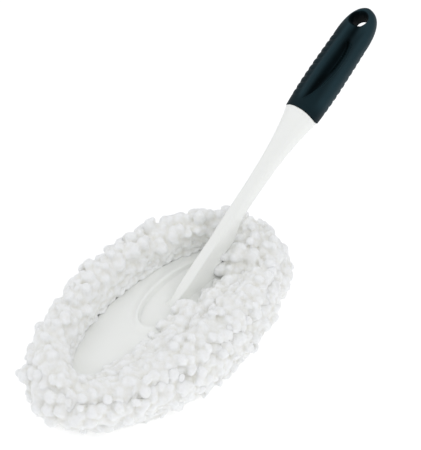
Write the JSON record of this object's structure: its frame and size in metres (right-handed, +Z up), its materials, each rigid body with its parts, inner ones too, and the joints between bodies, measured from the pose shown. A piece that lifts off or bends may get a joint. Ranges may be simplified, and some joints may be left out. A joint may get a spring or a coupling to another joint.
{
  "type": "chenille wash brush",
  "caption": "Hand-held wash brush with an oval head in a slip-on looped chenille cover and a sloping white handle with a soft black grip.",
  "frame": {"origin": "centre of the head's flat underside, where the brush rests", "axes": "+X along the head towards the handle, +Z up out of the plate, and the brush is the same on both sides of Y = 0"},
  "size_m": [0.4431, 0.171, 0.2216],
  "materials": {
    "white_polypropylene": "satin",
    "black_grip_rubber": "satin",
    "zinc_plated_steel": "satin",
    "grey_eva_foam": "matte",
    "white_base_cloth": "matte",
    "white_elastic": "matte",
    "white_chenille": "matte"
  },
  "bodies": {
    "cover": {"hem_tunnel": "white_base_cloth", "cover_backing": "white_base_cloth", "cover_side_band": "white_base_cloth", "hem_elastic": "white_elastic", "rim_pile_inner_row": "white_chenille", "rim_pile_crest": "white_chenille", "side_pile_upper": "white_chenille", "side_pile_lower": "white_chenille", "underside_pile_outer": "white_chenille", "underside_pile_centre": "white_chenille"},
    "brush_frame": {"handle_stem": "white_polypropylene", "head_plate": "white_polypropylene", "grip_sleeve": "black_grip_rubber", "foot_screw_1": "zinc_plated_steel", "foot_screw_2": "zinc_plated_steel", "foot_screw_3": "zinc_plated_steel", "foot_screw_4": "zinc_plated_steel", "foam_pad": "grey_eva_foam"}
  },
  "joints": [
    {"name": "frame_lift_out", "type": "slide", "parent": "cover", "child": "brush_frame", "axis": [0, 0, 1], "range_m": [0, 0.08], "deforming": ["hem_tunnel", "hem_elastic"]}
  ]
}
